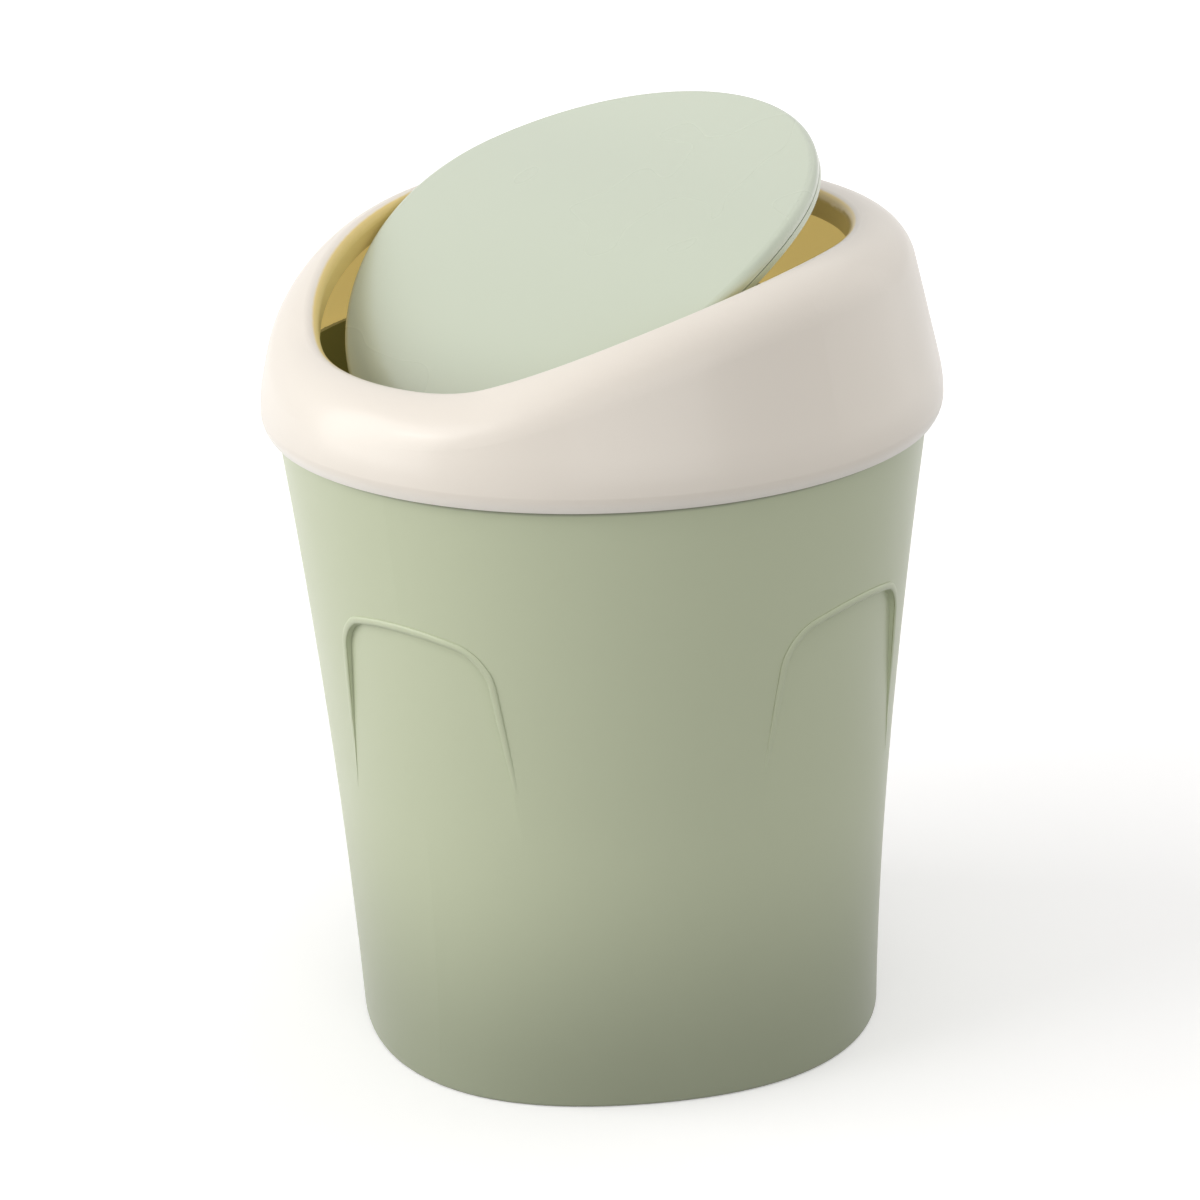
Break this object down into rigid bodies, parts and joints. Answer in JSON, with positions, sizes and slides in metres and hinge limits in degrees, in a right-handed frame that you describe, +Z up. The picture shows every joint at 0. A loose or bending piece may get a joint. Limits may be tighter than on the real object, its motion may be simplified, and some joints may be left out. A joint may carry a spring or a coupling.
{
  "type": "countertop trash can with swing lid",
  "caption": "Small tapered countertop waste bin with a sloping round head ring and a swing lid in its mouth.",
  "frame": {"origin": "centre of the base, on the table", "axes": "+Z up along the bin's axis, -Y toward the low side of the mouth, X along the lid's hinge"},
  "size_m": [0.1264, 0.1264, 0.1724],
  "materials": {
    "body_plastic": "satin",
    "ring_plastic": "satin",
    "lid_plastic": "satin",
    "liner_plastic": "satin"
  },
  "bodies": {
    "bin": {"bin_body": "body_plastic"},
    "ring": {"head_ring": "ring_plastic"},
    "lid": {"lid_cover": "lid_plastic", "lid_liner": "liner_plastic"}
  },
  "joints": [
    {"name": "ring_lift", "type": "slide", "parent": "bin", "child": "ring", "axis": [0, 0, 1], "range_m": [0, 0.045]},
    {"name": "lid_swing", "type": "hinge", "parent": "ring", "child": "lid", "pos_m": [0, -0.0068, 0.1452], "axis": [1, 0, 0], "range_deg": [-96.5, 53.5]}
  ]
}
